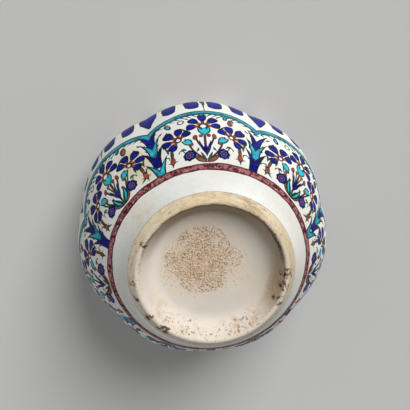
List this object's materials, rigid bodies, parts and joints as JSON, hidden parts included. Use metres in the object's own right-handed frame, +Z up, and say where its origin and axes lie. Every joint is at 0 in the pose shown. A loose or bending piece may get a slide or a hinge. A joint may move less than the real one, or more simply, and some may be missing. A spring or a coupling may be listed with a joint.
{
  "type": "lobed faience jar",
  "caption": "Melon-lobed painted faience jar: flared foot ring, round belly, short waisted neck and rolled lip round an open mouth, for storage or display.",
  "frame": {"origin": "centre of the foot ring on the table, the jar standing upright", "axes": "+Z up the jar's axis out of its mouth; the crest of one lobe faces -Y"},
  "size_m": [0.248, 0.2463, 0.2652],
  "materials": {
    "bare_biscuit": "unglazed, worn and dirty",
    "painted_glaze": "clear gloss glaze over a painted white slip",
    "plain_glaze": "clear gloss glaze over white slip",
    "kiln_sand": "coarse sand fused to the glaze"
  },
  "bodies": {
    "root": {"foot_ring": "bare_biscuit", "lower_body": "painted_glaze", "upper_body": "painted_glaze", "neck": "painted_glaze", "lip": "painted_glaze", "belly_slip": "plain_glaze", "neck_slip": "plain_glaze", "kiln_grit": "kiln_sand"}
  },
  "joints": []
}
